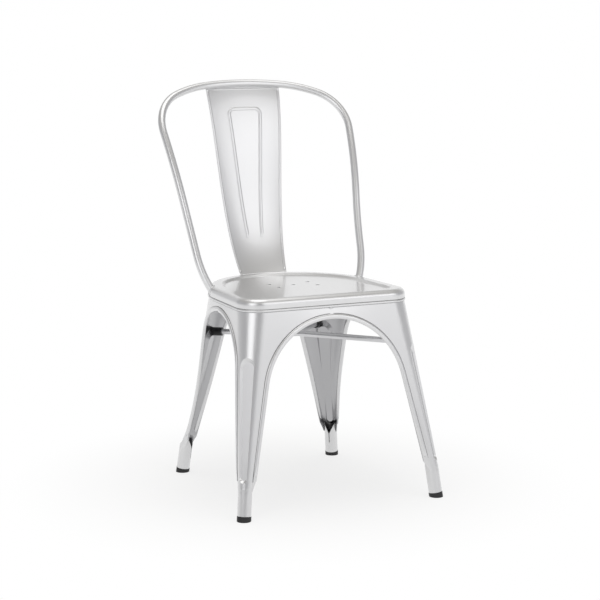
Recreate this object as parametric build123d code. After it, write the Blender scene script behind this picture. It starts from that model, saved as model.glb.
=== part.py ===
from build123d import *
import os
from math import atan2, cos, degrees, radians, sin, tan

os.makedirs("parts", exist_ok=True)

# Sizes in mm. While building, y = 0 lies midway between the feet, the front is -Y and z = 0 is the floor.
SHEET = 1.6
FIT = 0.3

# Seat pan
SEAT_HALF = 189.0
SEAT_FRONT = -155.0
SEAT_REAR = 197.0
SEAT_CORNER_R = 48.0
SEAT_REAR_FLAT = 6.0
SEAT_TAPER = 2.74
SEAM_Z = 406.0
SEAM_STEP = 1.0
RIM_Z = 432.0
RIM_R = 13.0
RIM_WIDTH = 28.0
PANEL_DROP = 4.0
PANEL_SLOPE = 8.0
DRAIN_D = 9.0
DRAIN_X = 45.0
DRAIN_Y = 24.0
DRAIN_MID_Y = 25.0

# Leg tubes and feet
TUBE_R = 14.0
SKIN_STEP = 0.4
FRONT_FOOT = (218.3, -209.0)
REAR_FOOT = (182.7, 209.0)
FRONT_LEAN = (-0.108, 0.134)
REAR_LEAN = (-0.103, -0.109)
TUBE_JOIN_Z = 70.0
TUBE_TOP_Z = 86.0
REAR_SLIM_Z = 108.0
CAP_H = 9.5
CAP_R = 14.4
CAP_PLUG = 12.0
NOTCH_Z = 54.0
TUBE_BACK_Z = 61.0
SLIT_Z = 34.0
SLIT_W = 1.4

# Arches between the legs
SIDE_MID_Y = -7.0
ARCH_FOOT_Z = 77.0
ARCH_END_Z = 56.0
ARCH_SLANT = 12.0
ARM_TURNS = [(SEAM_Z, 0.0), (300.0, 1.0), (190.0, 11.0), (ARCH_END_Z, 32.0)]
FRONT_ARCH = (0.0, 231.0, 153.0, 12.2, 12.2)
REAR_ARCH = (0.0, 296.0, 88.0, 15.3, 15.3)
SIDE_ARCH = (SIDE_MID_Y, 260.7, 127.3, 12.5, 16.0)
BEAD_W = 9.0
BEAD_H = 1.6
OVER = 6.0

# Pressed flute down each leg corner
FLUTE_TOP_Z = 296.0
FLUTE_LOW_Z = 86.0
FLUTE_TOP_R = 12.0
FLUTE_LOW_R = 6.0
FLUTE_TOP_DEPTH = 7.5
FLUTE_LOW_DEPTH = 6.0
FLUTE_WALL = 48.0

# Back hoop: where the arcs of its right half meet, from the middle of the top rail down to the seat
HOOP_R = 8.0
HOOP_WALL = 1.4
HOOP_LINE = [
    (0.0, 297.0, 842.0),
    (87.3, 288.5, 838.2),
    (168.4, 263.1, 820.5),
    (220.3, 202.6, 742.7),
    (203.8, 135.0, 600.5),
    (192.5, 91.6, 493.0),
    (171.3, 59.0, 420.6),
]

# Back splat: height and y at the middle, half width, and how far the edges lie forward and down
SPLAT_T = 1.6
SPLAT_ROWS = [
    (432.2, 187.0, 55.0, 9.0, 0.0),
    (491.0, 218.0, 61.5, 9.0, 0.0),
    (659.0, 259.0, 76.0, 9.0, 0.0),
    (833.0, 296.5, 87.6, 7.5, 3.7),
]
GROOVE_TOP_Z = 790.0
GROOVE_TOP_HALF = 37.8
GROOVE_LOW_Z = 507.0
GROOVE_LOW_HALF = 17.0
GROOVE_CORNER_R = 12.0
GROOVE_W = 6.5
GROOVE_H = 1.4

# Cross brace under the seat
BRACE_Z = 322.0
BRACE_R = 6.0
BRACE_MID_Y = 38.0
BRACE_BEND = 25.0
BRACE_REAR_DROP = 7.0
BRACE_FRONT = (178.5, -161.4, BRACE_Z)
BRACE_REAR = (128.0, 166.5, BRACE_Z - BRACE_REAR_DROP)
SLEEVE_R = 9.0
SLEEVE_L = 24.0
BRACE_STOP = 4.0


def lerp(a, b, t):
    return a + (b - a) * t


def left(shape):
    """The same piece on the left side of the chair."""
    return mirror(shape, Plane.YZ)


def at_height(foot, lean, z):
    """Centre of a leg tube at height z."""
    return (foot[0] + lean[0] * z, foot[1] + lean[1] * z)


# Corner arcs of the seat outline; the sides run straight between them and close in towards the rear
SIDE_X = cos(radians(SEAT_TAPER))
SIDE_Y = sin(radians(SEAT_TAPER))
FRONT_CORNER = (SEAT_HALF - SEAT_CORNER_R, SEAT_FRONT + SEAT_CORNER_R)
REAR_X = SEAT_REAR_FLAT / 2
REAR_SPAN = (FRONT_CORNER[0] - REAR_X) * SIDE_X + (FRONT_CORNER[1] - SEAT_REAR) * SIDE_Y
SEAT_REAR_R = (REAR_SPAN + SEAT_CORNER_R) / (1 - SIDE_Y)
REAR_CORNER = (REAR_X, SEAT_REAR - SEAT_REAR_R)

# Where the leg skins start under the seat, where they slim down to the tubes, and which way their arms face
FRONT_LEG = {
    "top": FRONT_CORNER,
    "top_r": SEAT_CORNER_R - SEAM_STEP,
    "slim_z": TUBE_JOIN_Z,
    "foot": FRONT_FOOT,
    "lean": FRONT_LEAN,
    "arms": (-90.0, SEAT_TAPER),
    "arch": FRONT_ARCH,
}
REAR_LEG = {
    "top": REAR_CORNER,
    "top_r": SEAT_REAR_R - SEAM_STEP,
    "slim_z": REAR_SLIM_Z,
    "foot": REAR_FOOT,
    "lean": REAR_LEAN,
    "arms": (SEAT_TAPER, 90.0),
    "arch": REAR_ARCH,
}


def corner_out(leg):
    """Level direction in which a leg's corner points."""
    middle = radians(sum(leg["arms"]) / 2)
    return Vector(cos(middle), sin(middle), 0)


def leg_arc(leg, z):
    """Centre and radius of a leg's rounded corner at height z."""
    radius = lerp(leg["top_r"], TUBE_R + SKIN_STEP, min(1.0, (SEAM_Z - z) / (SEAM_Z - leg["slim_z"])))
    if z <= TUBE_JOIN_Z:
        return at_height(leg["foot"], leg["lean"], z), radius
    t = (SEAM_Z - z) / (SEAM_Z - TUBE_JOIN_Z)
    join = at_height(leg["foot"], leg["lean"], TUBE_JOIN_Z)
    centre = (lerp(leg["top"][0], join[0], t), lerp(leg["top"][1], join[1], t))
    return centre, radius


def leg_outline(leg, z, turn, inset, over):
    """Closed outline of a leg block at height z: arm, corner arc, arm, and the planes where legs meet."""
    centre, radius = leg_arc(leg, z)
    r = radius - inset
    first = leg["arms"][0] - turn
    last = leg["arms"][1] + turn
    is_rear = leg is REAR_LEG
    x_end = -over
    y_end = SIDE_MID_Y - over if is_rear else SIDE_MID_Y + over

    def on_arc(angle):
        return Vector(centre[0] + r * cos(radians(angle)), centre[1] + r * sin(radians(angle)), z)

    def arm_end(point, angle, along_x):
        step = Vector(-sin(radians(angle)), cos(radians(angle)), 0)
        reach = (x_end - point.X) / step.X if along_x else (y_end - point.Y) / step.Y
        return point + step * reach

    a = on_arc(first)
    b = on_arc(last)
    start = arm_end(a, first, not is_rear)
    stop = arm_end(b, last, is_rear)
    corner = Vector(x_end, y_end, z)
    edges = [
        Edge.make_line(start, a),
        Edge.make_three_point_arc(a, on_arc((first + last) / 2), b),
        Edge.make_line(b, stop),
        Edge.make_line(stop, corner),
        Edge.make_line(corner, start),
    ]
    return Wire(edges)


def leg_block(leg, inset, over):
    """Solid filling a right-hand leg's corner out to its skin, the skin moved in by inset."""
    return Solid.make_loft([leg_outline(leg, z, turn, inset, over) for z, turn in ARM_TURNS])


def flute_tool(leg, extra):
    """Tapered teardrop that presses the flute into a leg's corner; extra makes the inside face of the sheet."""
    out = corner_out(leg)
    ends = []
    for z, depth in ((FLUTE_LOW_Z, FLUTE_LOW_DEPTH), (FLUTE_TOP_Z, FLUTE_TOP_DEPTH)):
        centre, r = leg_arc(leg, z)
        ends.append(Vector(centre[0], centre[1], z) + out * (r - depth))
    up = (ends[1] - ends[0]).normalized()
    side = up.cross(out).normalized()
    normal = side.cross(up).normalized()
    plane = Plane(ends[0] - normal * extra, x_dir=up, z_dir=normal)
    length = (ends[1] - ends[0]).length
    widen = extra * (1 / cos(radians(FLUTE_WALL)) - tan(radians(FLUTE_WALL)))
    low_r = FLUTE_LOW_R + widen
    top_r = FLUTE_TOP_R + widen
    slant = (top_r - low_r) / length
    rise = (1 - slant * slant) ** 0.5
    low = [(-slant * low_r, sign * rise * low_r) for sign in (1, -1)]
    top = [(length - slant * top_r, sign * rise * top_r) for sign in (1, -1)]
    edges = [ThreePointArc(low[0], (-low_r, 0), low[1]).edge()]
    edges += [ThreePointArc(top[0], (length + top_r, 0), top[1]).edge()]
    edges += [Line(low[i], top[i]).edge() for i in (0, 1)]
    return extrude(plane * make_face(edges), amount=FLUTE_TOP_DEPTH + 12 + extra, taper=-FLUTE_WALL)


def arch_tool(arch, grow, low_z, plane, near, far):
    """Prism that opens an arch between two legs, grown outwards; it ends in slants or, with low_z, level."""
    mid, height, radius, lean_a, lean_b = arch
    r = radius + grow
    outline = []
    for sign, lean in ((-1, lean_a), (1, lean_b)):
        a = radians(lean)
        tangent = (mid + sign * r * cos(a), height + r * sin(a))
        foot = (tangent[0] + sign * (tangent[1] - ARCH_FOOT_Z) * tan(a), ARCH_FOOT_Z)
        end = (foot[0] + sign * ARCH_SLANT, ARCH_END_Z)
        outline.append([tangent, foot, end, (end[0], -5.0)] if low_z is None else [tangent, (foot[0], low_z)])
    left, right = outline
    crown = (mid, height + r)
    edges = [ThreePointArc(left[0], crown, right[0]).edge()]
    edges += Polyline(*right, *reversed(left)).edges()
    return extrude(plane.offset(near) * make_face(edges), amount=far - near)


def leg_axis_plane(leg, z):
    """Plane square to a leg tube at height z, its x axis pointing out of the chair."""
    centre = at_height(leg["foot"], leg["lean"], z)
    axis = Vector(leg["lean"][0], leg["lean"][1], 1).normalized()
    out = corner_out(leg)
    x_dir = (out - axis * out.dot(axis)).normalized()
    return Plane(Vector(centre[0], centre[1], z), x_dir=x_dir, z_dir=axis)


def leg_tube(leg):
    """Rolled tube at the foot of a leg, notched and slit on the side that faces the middle of the chair."""
    base = leg_axis_plane(leg, CAP_H)
    length = TUBE_TOP_Z - CAP_H
    tube = extrude(base * (Circle(TUBE_R) - Circle(TUBE_R - SHEET)), amount=length)
    notch = NOTCH_Z - CAP_H
    reach = TUBE_R + 2
    v_face = make_face(Polyline((0, notch), (reach, length + 1), (-reach, length + 1), (0, notch)).edges())
    slit = Pos(0, (SLIT_Z + NOTCH_Z) / 2 - CAP_H + 1) * Rectangle(SLIT_W, NOTCH_Z - SLIT_Z + 2)
    face_in = Plane(base.origin, x_dir=-base.y_dir, z_dir=-base.x_dir)
    tool = extrude(face_in * (v_face + slit), amount=TUBE_R + 4)
    tube -= tool
    section = Plane(base.origin, x_dir=base.x_dir, z_dir=-base.y_dir)
    back = TUBE_BACK_Z - CAP_H
    slope = Polyline((-reach, length), (reach, back), (reach, length + 1), (-reach, length + 1), (-reach, length))
    return tube - extrude(section * make_face(slope.edges()), amount=reach, both=True)


def right_leg(leg):
    """One pressed leg on the right side of the chair."""
    is_rear = leg is REAR_LEG
    near, far = (-400, 0) if is_rear else (60, 400)
    skin = leg_block(leg, 0, OVER) - flute_tool(leg, 0)
    proud = leg_block(leg, -BEAD_H, OVER)
    skin += proud & arch_tool(leg["arch"], BEAD_W, ARCH_FOOT_Z, Plane.XZ, near, far)
    skin += proud & arch_tool(SIDE_ARCH, BEAD_W, ARCH_FOOT_Z, Plane.YZ, 60, 400)
    skin -= leg_block(leg, SHEET, 2 * OVER) - flute_tool(leg, SHEET)
    skin -= arch_tool(leg["arch"], 0, None, Plane.XZ, near, far)
    skin -= arch_tool(SIDE_ARCH, 0, None, Plane.YZ, 60, 400)
    side = 1 if is_rear else -1
    room = Pos(250, SIDE_MID_Y + side * 250, SEAM_Z / 2) * Box(500, 500, SEAM_Z)
    skin &= room
    keep = sorted(skin.solids(), key=lambda s: s.volume)[-1]
    return keep + leg_tube(leg)


def seat_outline(grow, z):
    """Seat outline at height z, moved out by grow."""

    def on_corner(corner, radius, angle):
        r = radius + grow
        return (corner[0] + r * cos(radians(angle)), corner[1] + r * sin(radians(angle)))

    half = [on_corner(FRONT_CORNER, SEAT_CORNER_R, a) for a in (-90, (SEAT_TAPER - 90) / 2, SEAT_TAPER)]
    half += [on_corner(REAR_CORNER, SEAT_REAR_R, a) for a in (SEAT_TAPER, (SEAT_TAPER + 90) / 2, 90)]
    p = [Vector(x, y, z) for x, y in half]
    q = [Vector(-x, y, z) for x, y in half]
    edges = [
        Edge.make_line(q[0], p[0]),
        Edge.make_three_point_arc(p[0], p[1], p[2]),
        Edge.make_line(p[2], p[3]),
        Edge.make_three_point_arc(p[3], p[4], p[5]),
        Edge.make_line(p[5], q[5]),
        Edge.make_three_point_arc(q[5], q[4], q[3]),
        Edge.make_line(q[3], q[2]),
        Edge.make_three_point_arc(q[2], q[1], q[0]),
    ]
    return Wire(edges)


def rim_block(inset):
    """Seat body with a rounded top edge, its skin moved in by inset."""
    low = SEAM_Z - inset
    top = RIM_Z - inset
    body = extrude(Face(seat_outline(-inset, low)), amount=top - low, dir=(0, 0, 1))
    return fillet(body.faces().sort_by(Axis.Z)[-1].edges(), RIM_R - inset)


def panel_pocket(inset):
    """Shallow pocket inside the rim, its skin moved out by inset."""
    floor = seat_outline(-RIM_WIDTH - PANEL_SLOPE + inset, RIM_Z - PANEL_DROP - inset)
    mouth = seat_outline(-RIM_WIDTH + PANEL_SLOPE + inset, RIM_Z + PANEL_DROP - inset)
    pocket = Solid.make_loft([floor, mouth], ruled=True)
    return fillet(pocket.faces().sort_by(Axis.Z)[0].edges(), PANEL_DROP / 2)


def hoop_bends():
    """Arcs of the hoop's right half, each going on smoothly from the last: start plane, axis and angle; then the end."""
    bends = []
    start = Vector(*HOOP_LINE[0])
    ahead = Vector(1, 0, 0)
    for point in HOOP_LINE[1:]:
        chord = Vector(*point) - start
        half_turn = radians(chord.get_angle(ahead))
        inward = (chord - ahead * chord.dot(ahead)).normalized()
        centre = start + inward * (chord.length / (2 * sin(half_turn)))
        bends.append((Plane(start, z_dir=ahead), Axis(centre, ahead.cross(inward)), degrees(2 * half_turn)))
        start = Vector(*point)
        ahead = ahead * cos(2 * half_turn) + inward * sin(2 * half_turn)
    return bends, Plane(start, z_dir=ahead)


def hoop_rod(radius):
    """The whole hoop as a solid rod."""
    bends, end = hoop_bends()
    plane, axis, angle = bends[0]
    rod = revolve((plane * Circle(radius)).rotate(axis, -angle), axis, 2 * angle)
    for plane, axis, angle in bends[1:]:
        bend = revolve(plane * Circle(radius), axis, angle)
        rod += bend
        rod += left(bend)
    return rod


def back_hoop():
    """Bent tube of the back."""
    return hoop_rod(HOOP_R) - hoop_rod(HOOP_R - HOOP_WALL)


def hoop_hole():
    """Hole for the right-hand end of the hoop."""
    bends, end = hoop_bends()
    plane, axis, angle = bends[-1]
    hole = revolve(plane * Circle(HOOP_R + FIT), axis, angle)
    return hole + extrude(end * Circle(HOOP_R + FIT), amount=HOOP_R)


def seat_pan():
    """Pressed seat: rounded rim, sunk panel with drain holes and holes for the hoop's ends."""
    shell = rim_block(0) - panel_pocket(0)
    hollow = rim_block(SHEET) - panel_pocket(SHEET)
    shell -= hollow
    spots = [(0, 0)] + [(sx * DRAIN_X, sy * DRAIN_Y) for sx in (-1, 1) for sy in (-1, 1)]
    for x, y in spots:
        shell -= Pos(x, DRAIN_MID_Y + y, RIM_Z - PANEL_DROP) * Cylinder(DRAIN_D / 2, 10)
    hole = hoop_hole()
    return shell - hole - left(hole)


def splat_row(z, mid_y, half, bow, drop, forward, thick):
    """Thin bowed section of the splat at one height, moved forward and as thick as asked."""
    tilt = Vector(0, bow, drop).normalized()
    front = [Vector(-half, mid_y - bow, z - drop), Vector(0, mid_y, z), Vector(half, mid_y - bow, z - drop)]
    front = [p - tilt * forward for p in front]
    rear = [p + tilt * thick for p in front]
    edges = [
        Edge.make_three_point_arc(*front),
        Edge.make_line(front[2], rear[2]),
        Edge.make_three_point_arc(rear[2], rear[1], rear[0]),
        Edge.make_line(rear[0], front[0]),
    ]
    return Wire(edges)


def splat_body(forward, thick):
    return Solid.make_loft([splat_row(*row, forward, thick) for row in SPLAT_ROWS])


def groove_face(width):
    """Narrow inverted U in the front view, open at the bottom."""
    top = GROOVE_TOP_Z - GROOVE_W / 2
    low = [(GROOVE_LOW_HALF, GROOVE_LOW_Z), (-GROOVE_LOW_HALF, GROOVE_LOW_Z)]
    high = [(-GROOVE_TOP_HALF, top), (GROOVE_TOP_HALF, top)]
    line = FilletPolyline(low[1], high[0], high[1], low[0], radius=GROOVE_CORNER_R)
    return trace(line, line_width=width)


def back_splat():
    """Pressed splat with a raised inverted U."""
    body = splat_body(0, SPLAT_T)
    ridge = extrude(Plane.XZ.offset(-400) * groove_face(GROOVE_W), amount=400)
    body += splat_body(GROOVE_H, SPLAT_T) & ridge
    hollow = extrude(Plane.XZ.offset(-400) * groove_face(GROOVE_W - 2 * SPLAT_T), amount=400)
    return body - (splat_body(GROOVE_H - SPLAT_T, SPLAT_T) & hollow)


def foot_cap(leg):
    """Rubber foot: a cap square to the tube, cut flat on the floor, with a plug inside the tube."""
    plane = leg_axis_plane(leg, CAP_H)
    cap = extrude(plane * Circle(CAP_R), amount=-2 * CAP_H)
    cap += extrude(plane * Circle(TUBE_R - SHEET - FIT), amount=CAP_PLUG)
    ground = Pos(plane.origin.X, plane.origin.Y, 50) * Box(100, 100, 100)
    return cap & ground


def brace_line(end, sign):
    """Centre line of one bent brace rod; sign is -1 for the front rod and 1 for the rear one."""
    apex_y = BRACE_MID_Y + sign * (BRACE_R + FIT / 2)
    vertex_y = apex_y
    for step in range(8):
        half = atan2(end[0], abs(end[1] - vertex_y))
        vertex_y = apex_y - sign * BRACE_BEND * (1 / sin(half) - 1)
    return end, (0.0, vertex_y, BRACE_Z)


def brace_rod(end, sign):
    tip, vertex = brace_line(end, sign)
    back = Vector(*vertex) - Vector(*tip)
    tip = Vector(*tip) + back.normalized() * BRACE_STOP
    path = FilletPolyline(tip, vertex, (-tip.X, tip.Y, tip.Z), radius=BRACE_BEND)
    return sweep(Plane(path @ 0, z_dir=path % 0) * Circle(BRACE_R), path=path)


def brace_sleeve(leg, end, sign):
    """Plastic sleeve on a rod's right-hand end, shaped to the inside of the leg."""
    tip, vertex = brace_line(end, sign)
    back = (Vector(*vertex) - Vector(*tip)).normalized()
    plane = Plane(Vector(*tip) - back * 10, z_dir=back)
    tube = extrude(plane * Circle(SLEEVE_R), amount=SLEEVE_L + 10)
    tube -= extrude(plane * Circle(BRACE_R + FIT), amount=SLEEVE_L + 20)
    sleeve = (tube & leg_block(leg, SHEET + FIT, 0)) - flute_tool(leg, SHEET + FIT)
    return sorted(sleeve.solids(), key=lambda s: s.volume)[-1]


front_leg = right_leg(FRONT_LEG)
rear_leg = right_leg(REAR_LEG)
front_foot = foot_cap(FRONT_LEG)
rear_foot = foot_cap(REAR_LEG)
front_sleeve = brace_sleeve(FRONT_LEG, BRACE_FRONT, -1)
rear_sleeve = brace_sleeve(REAR_LEG, BRACE_REAR, 1)

pieces = {
    "seat_pan": seat_pan(),
    "leg_front_right": front_leg,
    "leg_front_left": left(front_leg),
    "leg_rear_right": rear_leg,
    "leg_rear_left": left(rear_leg),
    "foot_front_right": front_foot,
    "foot_front_left": left(front_foot),
    "foot_rear_right": rear_foot,
    "foot_rear_left": left(rear_foot),
    "back_hoop": back_hoop(),
    "back_splat": back_splat(),
    "brace_front": brace_rod(BRACE_FRONT, -1),
    "brace_rear": brace_rod(BRACE_REAR, 1),
    "sleeve_front_right": front_sleeve,
    "sleeve_front_left": left(front_sleeve),
    "sleeve_rear_right": rear_sleeve,
    "sleeve_rear_left": left(rear_sleeve),
}

# The origin goes to the middle of the footprint
front_y = front_foot.bounding_box().min.Y
rear_y = pieces["back_hoop"].bounding_box().max.Y
for name, shape in pieces.items():
    export_step(Pos(0, -(front_y + rear_y) / 2, 0) * shape, "parts/" + name + ".step")
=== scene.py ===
import math

import bpy
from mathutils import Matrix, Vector
from mathutils.bvhtree import BVHTree


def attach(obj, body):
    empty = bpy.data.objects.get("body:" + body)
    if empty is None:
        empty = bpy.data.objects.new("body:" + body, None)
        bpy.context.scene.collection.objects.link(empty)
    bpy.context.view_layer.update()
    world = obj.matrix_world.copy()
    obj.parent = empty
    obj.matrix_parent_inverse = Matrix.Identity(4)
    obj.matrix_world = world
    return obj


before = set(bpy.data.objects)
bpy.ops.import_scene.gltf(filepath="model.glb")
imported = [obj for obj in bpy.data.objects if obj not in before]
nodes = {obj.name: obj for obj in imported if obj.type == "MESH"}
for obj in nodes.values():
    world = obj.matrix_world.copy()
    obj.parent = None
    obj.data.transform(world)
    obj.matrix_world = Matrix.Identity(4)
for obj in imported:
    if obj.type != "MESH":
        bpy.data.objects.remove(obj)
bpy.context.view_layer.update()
scene = bpy.context.scene
scene.view_settings.view_transform = "Standard"

# Details are sized in mm, and places in the room in m. The chair's front is -Y.
MM = 0.001
ORIGIN_Y = -0.04074  # the frame's y, in m, of the line midway between the feet
CLEAR = 0.5  # m, a distance well outside the chair

# Finishes, with painted shade for creases, the seat's seam and the legs' inward faces
SILVER = (0.72, 0.72, 0.725)
# Painted shade: darker silver on the faces of the legs that look inwards
INSIDE_SHADE_SILVER = (0.47, 0.47, 0.48)
# Painted shade: dark grey of the strips laid in creases and along the seat's seam
CREASE_SHADE_GREY = (0.28, 0.28, 0.285)
ROD_SILVER = (0.70, 0.70, 0.71)
RUBBER_BLACK = (0.02, 0.02, 0.021)
PLASTIC_BLACK = (0.012, 0.012, 0.013)
POLISHED = {"metallic": 1.0, "rough": 0.34, "tone_swing": 0.03, "rough_swing": 0.06, "bump": 0.03}
CREASE_SHADE_FINISH = {"metallic": 1.0, "rough": 0.5, "tone_swing": 0.06, "rough_swing": 0.08, "bump": 0.05}
DRAWN = {"metallic": 1.0, "rough": 0.35, "tone_swing": 0.06, "rough_swing": 0.08, "bump": 0.05}
MOULDED = {"metallic": 0.0, "tone_swing": 0.2, "rough_swing": 0.15, "clouds": 30.0}
MOULDED_RUBBER = {"rough": 0.62, "bump": 0.15, "grain": 300.0, **MOULDED}
MOULDED_PLASTIC = {"rough": 0.45, "bump": 0.08, "grain": 400.0, **MOULDED}
STEEL_GRAIN = 900.0
STEEL_CLOUDS = 9.0
CLOUD_DETAIL = 4.0
GRAIN_DETAIL = 2.0
CLOUD_SHARE = 0.7
GRAIN_SHARE = 0.3
NOISE_MIDDLE = 0.5
GRAIN_RELIEF = 0.0004  # m
CLEAR_COAT = 0.6
COAT_ROUGH = 0.06
INWARD_FULL = 0.45  # how squarely a face looks inwards when it has all of the painted shade
INSIDE_SHADE_FROM_Z = 0.06  # m, the polished foot tubes end here and the painted shade begins
INSIDE_SHADE_FULL_Z = 0.085  # m, the painted shade is full from here

# Arches: middle, height and radius of the round crown in mm, and the lean of each arm in degrees
FRONT_ARCH = (0.0, 231.0, 153.0, 12.2, 12.2)
REAR_ARCH = (0.0, 296.0, 88.0, 15.3, 15.3)
SIDE_ARCH = (-7.0, 260.7, 127.3, 12.5, 16.0)
ARCH_BAND = 9.0
ARCH_LOW_Z = 84.0
ARM_STEPS = 30
CROWN_STEPS = 60

# Sections of the beads in mm: width, height, and depth of the middle below the sheet's face
ROLLED_EDGE = (10.4, 6.4, 1.6)
# The strip in the crease beside each rolled edge is dark painted shade
EDGE_CREASE_SHADE = (1.4, 1.2, 0.2)
U_RIDGE = (8.4, 4.4, 1.4)
SPLAT_HEM = (6.4, 4.2, 0.8)
SEAM_ROLL = (4.6, 3.4, 0.2)
# The dark strips above and below the seat's seam are painted shade
SEAM_SHADE_LINE = (1.2, 1.0, 0.1)
HOOP_WELD = (3.4, 3.0, 0.0)
SPLAT_WELD = (4.0, 3.0, 0.2)
APRON_WELD = (3.6, 3.4, 0.0)
BRACE_WELD = (6.5, 4.6, 0.0)
BEAD_SIDES = 14
BEAD_TIP = 0.15  # share of a step that the first ring of a rounded end keeps
RIPPLE_TURN = 2.1  # radians of ripple from one ring to the next
HOOP_RIPPLE = 0.12
SPLAT_RIPPLE = 0.1
SHORT_RIPPLE = 0.08
EDGE_ROUND = 2  # rings over which an end rounds off
SPLAT_WELD_ROUND = 3
APRON_WELD_ROUND = 4
BRACE_WELD_ROUND = 5
SMOOTH_SPAN = 3  # neighbours on each side over which the sheet's direction is smoothed

# Places of the details in mm
CREASE_SET_OUT = 0.9
U_TOP_Z = 786.75
U_LOW_Z = 509.0
U_TOP_HALF = 37.8
U_LOW_HALF = 17.0
U_CORNER_R = 12.0
U_BEND_STEPS = 12
U_LIMB_STEPS = 60
HEM_LOW_Z = 437.0
HEM_TOP_Z = 829.0
HEM_INSET = 3.0
HEM_STEPS = 80
SPLAT_LEAST_HALF = 30.0
SPLAT_MOST_HALF = 120.0
EDGE_HALVINGS = 24
SEAM_Z = 408.4
SEAM_MIDDLE_Y = -0.02  # m, in the frame
SEAM_REACH = 0.6  # m, from the middle to outside the seat
SEAM_STEPS = 360
SEAM_LINE_SHIFT = 2.9
SEAM_GAP_DEPTH = 1.0
HOOP_ENTRY = (176.3, 63.6, 431.0)
HOOP_RUN = (0.380, 0.375, 0.845)
HOOP_WELD_R = 9.2
HOOP_WELD_STEPS = 40
HOOP_CAST = 0.03  # m, from which the weld's ring is cast onto the rim
HOOP_NEAR = 0.04  # m, beyond which a cast has missed the rim
SPLAT_WELD_Z = 828.5
SPLAT_WELD_HALF = 72.0
SPLAT_WELD_STEPS = 72
APRON_WELD_Z = 404.5
APRON_WELD_HALF = 4.5
APRON_WELD_STEPS = 10
BRACE_MEET = (0.0, 38.0, 322.0)
BRACE_WELD_HALF = 9.0
BRACE_WELD_STEPS = 14
BRACE_WELD_RISE = 3.2

# Room, in m: white floor, grey walls that turn white behind the chair, and a ceiling
FLOOR_HALF = 300.0
FLOOR_WHITE = (0.9, 0.9, 0.9)
FLOOR_ROUGH = 0.9
# The floor glows less near the chair, a painted shadow round it
FLOOR_GLOW_UNDER = 0.72
FLOOR_GLOW_AWAY = 1.0
SHADOW_INNER = 0.15
SHADOW_OUTER = 0.65
WALL_FRONT = (0.40, 0.40, 0.41)
WALL_SIDE = (0.54, 0.54, 0.55)
WALL_BEHIND = (1.0, 1.0, 1.0)
CEILING = (0.50, 0.49, 0.47)
BEHIND_X = 0.45
BEHIND_Y = 0.89
FRONT_TO_SIDE = (-0.8, 0.1)
SIDE_TO_BEHIND = (0.5, 1.0)
WALL_TO_CEILING = (0.35, 0.75)

# Lamps: name, place, the point it faces, width and height, and power in watts
SOFTBOXES = (
    ("right_softbox", (1.05, -2.1, 1.55), (1.05, 0.0, 1.55), (2.3, 1.3), 10.4),
    ("low_softbox", (1.15, -2.1, 0.55), (1.15, 0.0, 0.55), (2.1, 0.7), 1.9),
    ("left_softbox", (-2.0, -1.57, 1.5), (-0.16, -0.19, 1.5), (1.4, 1.8), 10.5),
    ("top_softbox", (0.0, 0.0, 3.2), (0.0, 0.001, 0.0), (2.4, 2.4), 21.7),
)

# Camera
CAMERA_AZIMUTH = -25.30
CAMERA_RISE = 8.64
CAMERA_AIM = (0.0, ORIGIN_Y, 0.430)
CAMERA_DISTANCE = 3.808
CAMERA_SENSOR = 36.0
CAMERA_LENS = 108.77
CAMERA_SHIFT_X = 0.0025
CAMERA_SHIFT_Y = -0.0245
CAMERA_FAR = 1000.0

# Colour sockets of a Mix node
MIX_UNDER = 6
MIX_OVER = 7
MIX_RESULT = 2


# Nodes that the finishes share

def feed(tree, socket, value):
    """Give a socket a plain value, or link it to the output of another node."""
    if isinstance(value, bpy.types.NodeSocket):
        tree.links.new(value, socket)
    else:
        socket.default_value = value


def math_node(tree, operation, a, b):
    node = tree.nodes.new("ShaderNodeMath")
    node.operation = operation
    feed(tree, node.inputs[0], a)
    feed(tree, node.inputs[1], b)
    return node.outputs["Value"]


def vector_node(tree, operation, *values):
    node = tree.nodes.new("ShaderNodeVectorMath")
    node.operation = operation
    for socket, value in zip(node.inputs, values):
        feed(tree, socket, value)
    return node.outputs


def smooth_step(tree, value, low, high):
    node = tree.nodes.new("ShaderNodeMapRange")
    node.interpolation_type = "SMOOTHSTEP"
    node.inputs["From Min"].default_value = low
    node.inputs["From Max"].default_value = high
    tree.links.new(value, node.inputs["Value"])
    return node.outputs["Result"]


def blend(tree, share, under, over):
    """Mix of two colours, each a plain colour or the output of another node."""
    node = tree.nodes.new("ShaderNodeMix")
    node.data_type = "RGBA"
    tree.links.new(share, node.inputs[0])
    for place, colour in ((MIX_UNDER, under), (MIX_OVER, over)):
        feed(tree, node.inputs[place], (*colour, 1.0) if isinstance(colour, tuple) else colour)
    return node.outputs[MIX_RESULT]


def noise(tree, place, scale, detail):
    """Noise that swings about zero, and the same noise as a height."""
    node = tree.nodes.new("ShaderNodeTexNoise")
    node.inputs["Detail"].default_value = detail
    tree.links.new(place, node.inputs["Vector"])
    tree.links.new(scale, node.inputs["Scale"])
    return math_node(tree, "SUBTRACT", node.outputs["Fac"], NOISE_MIDDLE), node.outputs["Fac"]


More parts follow.
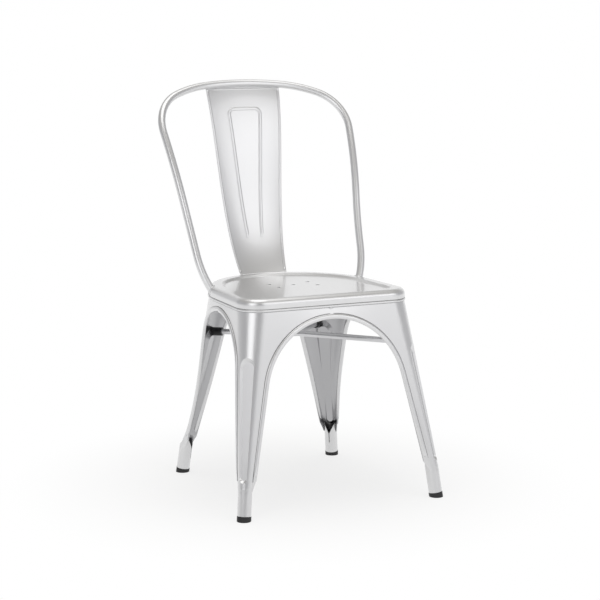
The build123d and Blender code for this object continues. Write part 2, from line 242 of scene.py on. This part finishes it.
def rolled_sheet_group():
    """Faint grain and cloudy handling marks."""
    group = bpy.data.node_groups.new("rolled_sheet", "ShaderNodeTree")
    for label, value in (("Grain Scale", STEEL_GRAIN), ("Cloud Scale", STEEL_CLOUDS)):
        socket = group.interface.new_socket(label, in_out="INPUT", socket_type="NodeSocketFloat")
        socket.default_value = value
    for label in ("Tone", "Rough", "Height"):
        group.interface.new_socket(label, in_out="OUTPUT", socket_type="NodeSocketFloat")
    source = group.nodes.new("NodeGroupInput")
    sink = group.nodes.new("NodeGroupOutput")
    place = group.nodes.new("ShaderNodeTexCoord").outputs["Object"]
    clouds, _ = noise(group, place, source.outputs["Cloud Scale"], CLOUD_DETAIL)
    grain, height = noise(group, place, source.outputs["Grain Scale"], GRAIN_DETAIL)
    soft = math_node(group, "MULTIPLY", clouds, CLOUD_SHARE)
    fine = math_node(group, "MULTIPLY", grain, GRAIN_SHARE)
    group.links.new(math_node(group, "ADD", soft, fine), sink.inputs["Tone"])
    group.links.new(clouds, sink.inputs["Rough"])
    group.links.new(height, sink.inputs["Height"])
    return group


def inward_shade_mask(tree):
    """Painted shade mask: 1 on faces above the foot tubes that look towards the middle of the chair, 0 on the
    others.
    """
    place = tree.nodes.new("ShaderNodeTexCoord")
    level = vector_node(tree, "MULTIPLY", place.outputs["Object"], (1.0, 1.0, 0.0))["Vector"]
    outward = vector_node(tree, "NORMALIZE", level)["Vector"]
    along = vector_node(tree, "DOT_PRODUCT", outward, place.outputs["Normal"])["Value"]
    inward = smooth_step(tree, math_node(tree, "MULTIPLY", along, -1.0), 0.0, INWARD_FULL)
    split = tree.nodes.new("ShaderNodeSeparateXYZ")
    tree.links.new(place.outputs["Object"], split.inputs[0])
    above = smooth_step(tree, split.outputs["Z"], INSIDE_SHADE_FROM_Z, INSIDE_SHADE_FULL_Z)
    return math_node(tree, "MULTIPLY", inward, above)


ROLLED_SHEET = rolled_sheet_group()


def surface(name, colour, metallic, rough, tone_swing, rough_swing, bump,
            grain=STEEL_GRAIN, clouds=STEEL_CLOUDS, coat=0.0, inside_shade=None):
    """Finish whose colour and gloss drift a little; the optional inside colour is painted shade on faces that
    look towards the middle of the chair.
    """
    material = bpy.data.materials.new(name)
    material.use_nodes = True
    tree = material.node_tree
    shader = tree.nodes["Principled BSDF"]
    shader.inputs["Metallic"].default_value = metallic
    shader.inputs["Coat Weight"].default_value = coat
    shader.inputs["Coat Roughness"].default_value = COAT_ROUGH
    effect = tree.nodes.new("ShaderNodeGroup")
    effect.node_tree = ROLLED_SHEET
    effect.inputs["Grain Scale"].default_value = grain
    effect.inputs["Cloud Scale"].default_value = clouds
    dark = tuple(c * (1.0 - tone_swing) for c in colour)
    light = tuple(min(1.0, c * (1.0 + tone_swing)) for c in colour)
    finish = blend(tree, math_node(tree, "ADD", effect.outputs["Tone"], NOISE_MIDDLE), dark, light)
    if inside_shade:
        # painted shade on the faces that look inwards
        finish = blend(tree, inward_shade_mask(tree), finish, inside_shade)
    tree.links.new(finish, shader.inputs["Base Color"])
    swing = math_node(tree, "MULTIPLY", effect.outputs["Rough"], rough_swing)
    tree.links.new(math_node(tree, "ADD", swing, rough), shader.inputs["Roughness"])
    relief = tree.nodes.new("ShaderNodeBump")
    relief.inputs["Strength"].default_value = bump
    relief.inputs["Distance"].default_value = GRAIN_RELIEF
    tree.links.new(effect.outputs["Height"], relief.inputs["Height"])
    tree.links.new(relief.outputs["Normal"], shader.inputs["Normal"])
    return material


steel = surface("silver_steel", SILVER, coat=CLEAR_COAT, **POLISHED)
# Copy of the silver steel with painted shade on the legs' inward faces
leg_steel_shaded_inside = surface("leg_steel_shaded_inside", SILVER, coat=CLEAR_COAT, inside_shade=INSIDE_SHADE_SILVER, **POLISHED)
# Dark grey painted shade for the strips in creases and along the seam
painted_crease_shade = surface("painted_crease_shade", CREASE_SHADE_GREY, **CREASE_SHADE_FINISH)
rod_steel = surface("brace_steel", ROD_SILVER, **DRAWN)
rubber = surface("foot_rubber", RUBBER_BLACK, **MOULDED_RUBBER)
plastic = surface("sleeve_plastic", PLASTIC_BLACK, **MOULDED_PLASTIC)


def finish_pieces():
    """Give each CAD piece the finish that the first word of its name calls for."""
    finishes = {"foot": rubber, "sleeve": plastic, "brace": rod_steel, "leg": leg_steel_shaded_inside}
    for name, node in nodes.items():
        node.data.materials.clear()
        node.data.materials.append(finishes.get(name.split("_")[0], steel))


# Pressed and rolled details that lie on the sheet, with dark strips of painted shade in creases and along the
# seam

def tree_of(*names):
    """Ray-casting tree over some CAD nodes together."""
    points = []
    faces = []
    for name in names:
        base = len(points)
        mesh = nodes[name].data
        points += [v.co.copy() for v in mesh.vertices]
        faces += [[base + i for i in poly.vertices] for poly in mesh.polygons]
    return BVHTree.FromPolygons(points, faces)


def lay_on(tree, points, ways):
    """Where rays through these points first meet the sheet, with the sheet's smoothed outward direction."""
    hits = []
    normals = []
    for point, way in zip(points, ways):
        way = Vector(way).normalized()
        place, normal = tree.ray_cast(Vector(point) - way, way)[:2]
        if place is None:
            continue
        hits.append(place)
        normals.append(normal if normal.dot(way) < 0 else -normal)
    smooth = []
    for i in range(len(hits)):
        near = normals[max(0, i - SMOOTH_SPAN):i + SMOOTH_SPAN + 1]
        smooth.append(sum(near, Vector()).normalized())
    return hits, smooth


def spread(half, steps):
    """Evenly spaced places from -half to half, in m."""
    return [(-half + 2 * half * i / steps) * MM for i in range(steps + 1)]


def tube_faces(count, closed):
    """Faces between the rings of a bead, with a cap at each open end."""
    faces = []
    for i in range(count if closed else count - 1):
        j = (i + 1) % count
        for k in range(BEAD_SIDES):
            n = (k + 1) % BEAD_SIDES
            ring, ahead = i * BEAD_SIDES, j * BEAD_SIDES
            faces.append((ring + k, ring + n, ahead + n, ahead + k))
    if not closed:
        faces.append(tuple(range(BEAD_SIDES)))
        faces.append(tuple(reversed(range((count - 1) * BEAD_SIDES, count * BEAD_SIDES))))
    return faces


def bead(name, points, normals, section, look=steel, closed=False,
         round_off=0, ripple=0.0):
    """Rounded strip along a line on the sheet; its ends can round off over some rings, and welds ripple."""
    width, height, sink = (size * MM for size in section)
    count = len(points)
    verts = []
    for i in range(count):
        if closed:
            ahead = (points[(i + 1) % count] - points[i - 1]).normalized()
        else:
            ahead = (points[min(i + 1, count - 1)] - points[max(i - 1, 0)]).normalized()
        across = ahead.cross(normals[i]).normalized()
        up = across.cross(ahead).normalized()
        centre = points[i] - up * sink
        size = 1.0 + ripple * math.sin(i * RIPPLE_TURN)
        from_end = min(i, count - 1 - i)
        if from_end < round_off:
            size *= math.sqrt(1.0 - (1.0 - (from_end + BEAD_TIP) / (round_off + BEAD_TIP)) ** 2)
        for k in range(BEAD_SIDES):
            turn = 2 * math.pi * k / BEAD_SIDES
            sideways = across * (size * width / 2 * math.cos(turn))
            verts.append(centre + sideways + up * (size * height / 2 * math.sin(turn)))
    mesh = bpy.data.meshes.new(name)
    mesh.from_pydata(verts, [], tube_faces(count, closed))
    mesh.validate()
    for poly in mesh.polygons:
        poly.use_smooth = len(poly.vertices) == 4
    mesh.materials.append(look)
    piece = bpy.data.objects.new(name, mesh)
    scene.collection.objects.link(piece)
    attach(piece, "root")


def arch_line(arch, grow):
    """Points of an arch in its own upright plane, moved out by grow, from one foot to the other."""
    middle, height, radius, lean_a, lean_b = arch
    radius += grow
    a = math.radians(lean_a)
    b = math.radians(lean_b)
    line = []
    start = (middle - radius * math.cos(a), height + radius * math.sin(a))
    for i in range(ARM_STEPS):
        drop = (start[1] - ARCH_LOW_Z) * (1 - i / ARM_STEPS)
        line.append((start[0] - drop * math.tan(a), start[1] - drop))
    for i in range(CROWN_STEPS + 1):
        turn = math.pi - a - (math.pi - a - b) * i / CROWN_STEPS
        line.append((middle + radius * math.cos(turn), height + radius * math.sin(turn)))
    end = line[-1]
    for i in range(1, ARM_STEPS + 1):
        drop = (end[1] - ARCH_LOW_Z) * i / ARM_STEPS
        line.append((end[0] + drop * math.tan(b), end[1] - drop))
    return line


def rolled_edges():
    """Round rolled edge of each arch, on top of the raised band, and a dark strip of painted shade in the
    crease along its outer side.
    """
    for word, names, arch, way in (
        ("front", ("leg_front_left", "leg_front_right"), FRONT_ARCH, (0, 1, 0)),
        ("rear", ("leg_rear_left", "leg_rear_right"), REAR_ARCH, (0, -1, 0)),
        ("left", ("leg_front_left", "leg_rear_left"), SIDE_ARCH, (1, 0, 0)),
        ("right", ("leg_front_right", "leg_rear_right"), SIDE_ARCH, (-1, 0, 0)),
    ):
        tree = tree_of(*names)
        for kind, grow, section, look in (
            ("rolled_edge_", ARCH_BAND / 2, ROLLED_EDGE, steel),
            # dark strip of painted shade in the crease
            ("edge_crease_shade_", ARCH_BAND + CREASE_SET_OUT, EDGE_CREASE_SHADE, painted_crease_shade),
        ):
            line = arch_line(arch, grow)
            if way[0] == 0:
                points = [(u * MM, -CLEAR * way[1], z * MM) for u, z in line]
            else:
                points = [(-CLEAR * way[0], u * MM + ORIGIN_Y, z * MM) for u, z in line]
            hits, normals = lay_on(tree, points, [way] * len(points))
            bead(kind + word, hits, normals, section, look, round_off=EDGE_ROUND)


def splat_ridge():
    """Rounded back of the inverted U that is pressed into the splat."""
    rise = U_TOP_Z - U_LOW_Z
    widening = U_TOP_HALF - U_LOW_HALF
    bend = math.pi / 2 + math.atan2(widening, rise)
    flat = U_TOP_HALF - U_CORNER_R * math.tan(bend / 2)
    half = [(i / U_BEND_STEPS * flat, U_TOP_Z) for i in range(U_BEND_STEPS + 1)]
    for i in range(1, U_BEND_STEPS + 1):
        turn = bend * i / U_BEND_STEPS
        half.append((flat + U_CORNER_R * math.sin(turn), U_TOP_Z - U_CORNER_R + U_CORNER_R * math.cos(turn)))
    limb_top = half[-1][1]
    for i in range(1, U_LIMB_STEPS + 1):
        z = limb_top + (U_LOW_Z - limb_top) * i / U_LIMB_STEPS
        half.append((U_LOW_HALF + widening * (z - U_LOW_Z) / rise, z))
    line = [(-x, z) for x, z in reversed(half[1:])] + half
    points = [(x * MM, -CLEAR, z * MM) for x, z in line]
    hits, normals = lay_on(tree_of("back_splat"), points, [(0, 1, 0)] * len(points))
    bead("splat_ridge", hits, normals, U_RIDGE, round_off=EDGE_ROUND)


def splat_half(tree, sign, z):
    """Half width of the splat at height z, found by halving."""
    inner = SPLAT_LEAST_HALF * MM
    outer = SPLAT_MOST_HALF * MM
    for _ in range(EDGE_HALVINGS):
        middle = (inner + outer) / 2
        if tree.ray_cast(Vector((sign * middle, -2 * CLEAR, z)), Vector((0, 1, 0)))[0] is None:
            outer = middle
        else:
            inner = middle
    return inner


def splat_hems():
    """Side edges of the splat, folded back on themselves."""
    tree = tree_of("back_splat")
    for sign, word in ((-1, "left"), (1, "right")):
        points = []
        for i in range(HEM_STEPS + 1):
            z = (HEM_LOW_Z + (HEM_TOP_Z - HEM_LOW_Z) * i / HEM_STEPS) * MM
            points.append((sign * (splat_half(tree, sign, z) - HEM_INSET * MM), -CLEAR, z))
        hits, normals = lay_on(tree, points, [(0, 1, 0)] * len(points))
        bead("splat_hem_" + word, hits, normals, SPLAT_HEM)


def seat_seam():
    """Rolled lower edge of the seat's skirt, all the way round, with a dark strip of painted shade above and
    below it.
    """
    points = []
    ways = []
    for i in range(SEAM_STEPS):
        turn = 2 * math.pi * i / SEAM_STEPS
        out = Vector((math.cos(turn), math.sin(turn), 0))
        points.append(Vector((0, SEAM_MIDDLE_Y, SEAM_Z * MM)) + out * SEAM_REACH)
        ways.append(-out)
    hits, normals = lay_on(tree_of("seat_pan"), points, ways)
    shift = Vector((0, 0, SEAM_LINE_SHIFT * MM))
    above = [hit + shift for hit in hits]
    below = [hit - normal * (SEAM_GAP_DEPTH * MM) - shift for hit, normal in zip(hits, normals)]
    bead("seat_seam", hits, normals, SEAM_ROLL, closed=True)
    # dark strips of painted shade above the roll and in the gap below it
    bead("seam_shade_above", above, normals, SEAM_SHADE_LINE, painted_crease_shade, closed=True)
    bead("seam_gap_shade", below, normals, SEAM_SHADE_LINE, painted_crease_shade, closed=True)


def hoop_welds():
    """Weld round each end of the hoop where it enters the seat's rim."""
    tree = tree_of("seat_pan")
    x, y, z = HOOP_ENTRY
    run_x, run_y, run_z = HOOP_RUN
    reach = HOOP_WELD_R * MM
    for sign, word in ((-1, "left"), (1, "right")):
        entry = Vector((sign * x * MM, y * MM + ORIGIN_Y, z * MM))
        way = Vector((-sign * run_x, -run_y, -run_z)).normalized()
        side = way.cross(Vector((0, 0, 1))).normalized()
        over = side.cross(way)
        hits = []
        for i in range(HOOP_WELD_STEPS):
            turn = 2 * math.pi * i / HOOP_WELD_STEPS
            ring = side * (reach * math.cos(turn)) + over * (reach * math.sin(turn))
            place = tree.ray_cast(entry - way * HOOP_CAST + ring, way)[0]
            if place is not None and (place - entry).length < HOOP_NEAR:
                hits.append(place)
        bead("hoop_weld_" + word, hits, [-way] * len(hits), HOOP_WELD, closed=True, ripple=HOOP_RIPPLE)


def splat_weld():
    """Weld along the back of the splat's top, under the rail."""
    points = [(x, CLEAR, SPLAT_WELD_Z * MM) for x in spread(SPLAT_WELD_HALF, SPLAT_WELD_STEPS)]
    hits, normals = lay_on(tree_of("back_splat"), points, [(0, -1, 0)] * len(points))
    bead("splat_weld", hits, normals, SPLAT_WELD, round_off=SPLAT_WELD_ROUND, ripple=SPLAT_RIPPLE)


def apron_welds():
    """Short weld at the middle of the seat's seam, in front and behind."""
    for word, way in (("front", (0, 1, 0)), ("rear", (0, -1, 0))):
        tree = tree_of("leg_" + word + "_left", "leg_" + word + "_right")
        across = spread(APRON_WELD_HALF, APRON_WELD_STEPS)
        points = [(x, -CLEAR * way[1], APRON_WELD_Z * MM) for x in across]
        hits, normals = lay_on(tree, points, [way] * len(points))
        bead("apron_weld_" + word, hits, normals, APRON_WELD, round_off=APRON_WELD_ROUND, ripple=SHORT_RIPPLE)


def brace_weld():
    """Weld that joins the two brace rods where their bends meet, above and below."""
    x, y, z = BRACE_MEET
    middle = Vector((x * MM, y * MM + ORIGIN_Y, z * MM))
    for word, side in (("top", 1), ("under", -1)):
        across = spread(BRACE_WELD_HALF, BRACE_WELD_STEPS)
        points = [middle + Vector((step, 0, side * BRACE_WELD_RISE * MM)) for step in across]
        normals = [Vector((0, 0, side))] * len(points)
        bead("brace_weld_" + word, points, normals, BRACE_WELD, rod_steel,
             round_off=BRACE_WELD_ROUND, ripple=SHORT_RIPPLE)


# Room, lamps and camera

def stage_floor():
    """White floor that glows less close to the chair: a painted shadow round the chair, within which the
    chair's real shadow also shows.
    """
    corners = [(x * FLOOR_HALF, y * FLOOR_HALF, 0) for x, y in ((-1, -1), (1, -1), (1, 1), (-1, 1))]
    mesh = bpy.data.meshes.new("floor")
    mesh.from_pydata(corners, [], [(0, 1, 2, 3)])
    floor = bpy.data.objects.new("floor", mesh)
    scene.collection.objects.link(floor)
    material = bpy.data.materials.new("floor_white")
    material.use_nodes = True
    tree = material.node_tree
    shader = tree.nodes["Principled BSDF"]
    shader.inputs["Base Color"].default_value = (*FLOOR_WHITE, 1.0)
    shader.inputs["Roughness"].default_value = FLOOR_ROUGH
    shader.inputs["Specular IOR Level"].default_value = 0.0
    glow = tree.nodes.new("ShaderNodeEmission")
    path = tree.nodes.new("ShaderNodeLightPath").outputs
    seen = math_node(tree, "ADD", path["Is Camera Ray"], path["Is Glossy Ray"])
    seen = math_node(tree, "MINIMUM", math_node(tree, "ADD", seen, path["Is Transmission Ray"]), 1.0)
    place = tree.nodes.new("ShaderNodeTexCoord")
    distance = vector_node(tree, "LENGTH", place.outputs["Object"])["Value"]
    # painted shadow: the glow fades towards the middle under the chair
    away = smooth_step(tree, distance, SHADOW_INNER, SHADOW_OUTER)
    gain = math_node(tree, "MULTIPLY", away, FLOOR_GLOW_AWAY - FLOOR_GLOW_UNDER)
    share = math_node(tree, "MULTIPLY", seen, math_node(tree, "ADD", gain, FLOOR_GLOW_UNDER))
    mix = tree.nodes.new("ShaderNodeMixShader")
    tree.links.new(share, mix.inputs[0])
    tree.links.new(shader.outputs[0], mix.inputs[1])
    tree.links.new(glow.outputs[0], mix.inputs[2])
    tree.links.new(mix.outputs[0], tree.nodes["Material Output"].inputs["Surface"])
    mesh.materials.append(material)


def studio_world():
    """Grey walls that turn white behind the chair, under a warmer grey ceiling."""
    world = bpy.data.worlds.new("studio")
    scene.world = world
    world.use_nodes = True
    tree = world.node_tree
    place = tree.nodes.new("ShaderNodeTexCoord")
    split = tree.nodes.new("ShaderNodeSeparateXYZ")
    tree.links.new(place.outputs["Generated"], split.inputs[0])
    along_x = math_node(tree, "MULTIPLY", split.outputs["X"], BEHIND_X)
    along_y = math_node(tree, "MULTIPLY", split.outputs["Y"], BEHIND_Y)
    behind = math_node(tree, "ADD", along_x, along_y)
    walls = blend(tree, smooth_step(tree, behind, *FRONT_TO_SIDE), WALL_FRONT, WALL_SIDE)
    walls = blend(tree, smooth_step(tree, behind, *SIDE_TO_BEHIND), walls, WALL_BEHIND)
    colour = blend(tree, smooth_step(tree, split.outputs["Z"], *WALL_TO_CEILING), walls, CEILING)
    tree.links.new(colour, tree.nodes["Background"].inputs["Color"])


def softbox(name, place, target, size, power):
    data = bpy.data.lights.new(name, "AREA")
    data.shape = "RECTANGLE"
    data.size, data.size_y = size
    data.energy = power
    lamp = bpy.data.objects.new(name, data)
    scene.collection.objects.link(lamp)
    lamp.location = place
    lamp.rotation_euler = (Vector(target) - Vector(place)).to_track_quat("-Z", "Y").to_euler()
    lamp.visible_camera = False


def photo_camera():
    azimuth = math.radians(CAMERA_AZIMUTH)
    rise = math.radians(CAMERA_RISE)
    level = math.cos(rise)
    back = Vector((math.sin(azimuth) * level, -math.cos(azimuth) * level, math.sin(rise)))
    data = bpy.data.cameras.new("camera")
    camera = bpy.data.objects.new("camera", data)
    scene.collection.objects.link(camera)
    camera.location = Vector(CAMERA_AIM) + back * CAMERA_DISTANCE
    camera.rotation_euler = back.to_track_quat("Z", "Y").to_euler()
    data.sensor_width = CAMERA_SENSOR
    data.lens = CAMERA_LENS
    data.shift_x = CAMERA_SHIFT_X
    data.shift_y = CAMERA_SHIFT_Y
    data.clip_end = CAMERA_FAR
    scene.camera = camera


finish_pieces()
rolled_edges()
splat_ridge()
splat_hems()
seat_seam()
hoop_welds()
splat_weld()
apron_welds()
brace_weld()
stage_floor()
studio_world()
for lamp in SOFTBOXES:
    softbox(*lamp)
photo_camera()
